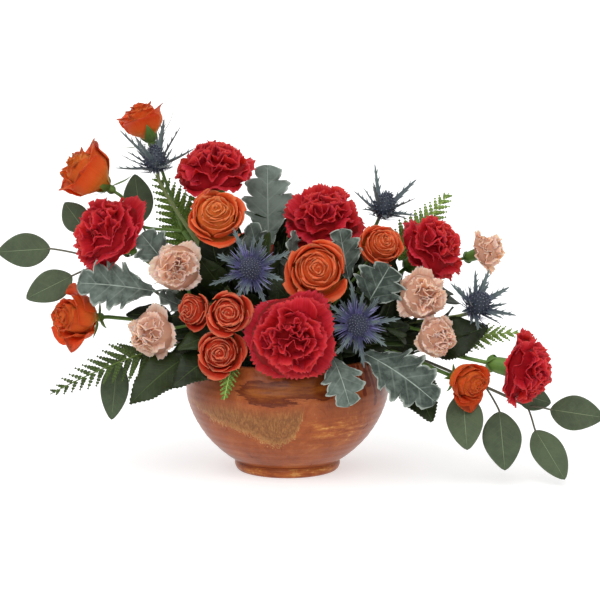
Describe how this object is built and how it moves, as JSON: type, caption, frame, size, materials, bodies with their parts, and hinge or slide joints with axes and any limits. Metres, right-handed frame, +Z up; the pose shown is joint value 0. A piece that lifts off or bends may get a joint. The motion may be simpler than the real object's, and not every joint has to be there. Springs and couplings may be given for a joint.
{
  "type": "floral table centerpiece",
  "caption": "Low asymmetric arrangement of roses, carnations, sea hollies and foliage in a footed glazed stoneware bowl.",
  "frame": {"origin": "centre of the bowl's flat foot, on the table", "axes": "+Z up, +X to the viewer's right along the arrangement's length, the viewer at -Y"},
  "size_m": [0.5965, 0.2591, 0.3702],
  "materials": {
    "bowl_glaze": "semi-gloss brown-orange stoneware glaze with olive, amber and dark brown runs",
    "floral_foam": "wet green floral foam",
    "green_stem": "smooth fresh green stem and calyx",
    "rose_petal": "velvety bright orange petal, yellower at its base",
    "spray_rose_petal": "velvety red-orange petal",
    "carnation_petal": "crimson petal with a toothed rim",
    "mini_carnation_petal": "pale peach petal with a toothed rim",
    "sea_holly": "blue-violet florets and stiff grey-violet bracts",
    "dusty_miller_leaf": "grey-green felted leaf with pale veins",
    "eucalyptus_leaf": "matte grey-green leaf",
    "fern_leaf": "fresh green leathery frond",
    "salal_leaf": "glossy dark green leathery leaf"
  },
  "bodies": {
    "root": {"bowl": "bowl_glaze", "carnation_back": "carnation_petal", "carnation_centre": "carnation_petal", "carnation_heart": "carnation_petal", "carnation_left": "carnation_petal", "carnation_low_right": "carnation_petal", "carnation_right": "carnation_petal", "carnation_stem_back": "green_stem", "carnation_stem_centre": "green_stem", "carnation_stem_heart": "green_stem", "carnation_stem_left": "green_stem", "carnation_stem_low_right": "green_stem", "carnation_stem_right": "green_stem", "carnation_stem_top": "green_stem", "carnation_top": "carnation_petal", "dusty_miller_centre": "dusty_miller_leaf", "dusty_miller_left": "dusty_miller_leaf", "dusty_miller_right": "dusty_miller_leaf", "eucalyptus_left": "eucalyptus_leaf", "eucalyptus_right": "eucalyptus_leaf", "fern_left": "fern_leaf", "fern_low_right": "fern_leaf", "fern_rim": "fern_leaf", "fern_upper_left": "fern_leaf", "fern_upper_right": "fern_leaf", "floral_foam": "floral_foam", "mini_carnation_far_right": "mini_carnation_petal", "mini_carnation_left": "mini_carnation_petal", "mini_carnation_low_left": "mini_carnation_petal", "mini_carnation_low_right": "mini_carnation_petal", "mini_carnation_right": "mini_carnation_petal", "mini_carnation_stem_left": "green_stem", "mini_carnation_stem_right": "green_stem", "rose_back": "rose_petal", "rose_crown": "rose_petal", "rose_heart": "rose_petal", "rose_high_centre": "rose_petal", "rose_high_right": "rose_petal", "rose_left": "rose_petal", "rose_low_right": "rose_petal", "rose_spray_left": "spray_rose_petal", "rose_spray_low": "spray_rose_petal", "rose_spray_top": "spray_rose_petal", "rose_stem_back": "green_stem", "rose_stem_centre": "green_stem", "rose_stem_high_centre": "green_stem", "rose_stem_left": "green_stem", "rose_stem_low_right": "green_stem", "rose_stem_spray": "green_stem", "rose_stem_upper_left": "green_stem", "rose_upper_left": "rose_petal", "salal_back_left": "salal_leaf", "salal_back_right": "salal_leaf", "salal_left": "salal_leaf", "salal_right": "salal_leaf", "sea_holly_centre": "sea_holly", "sea_holly_front_right": "sea_holly", "sea_holly_right": "sea_holly", "sea_holly_upper_left": "sea_holly", "sea_holly_upper_right": "sea_holly"}
  },
  "joints": []
}
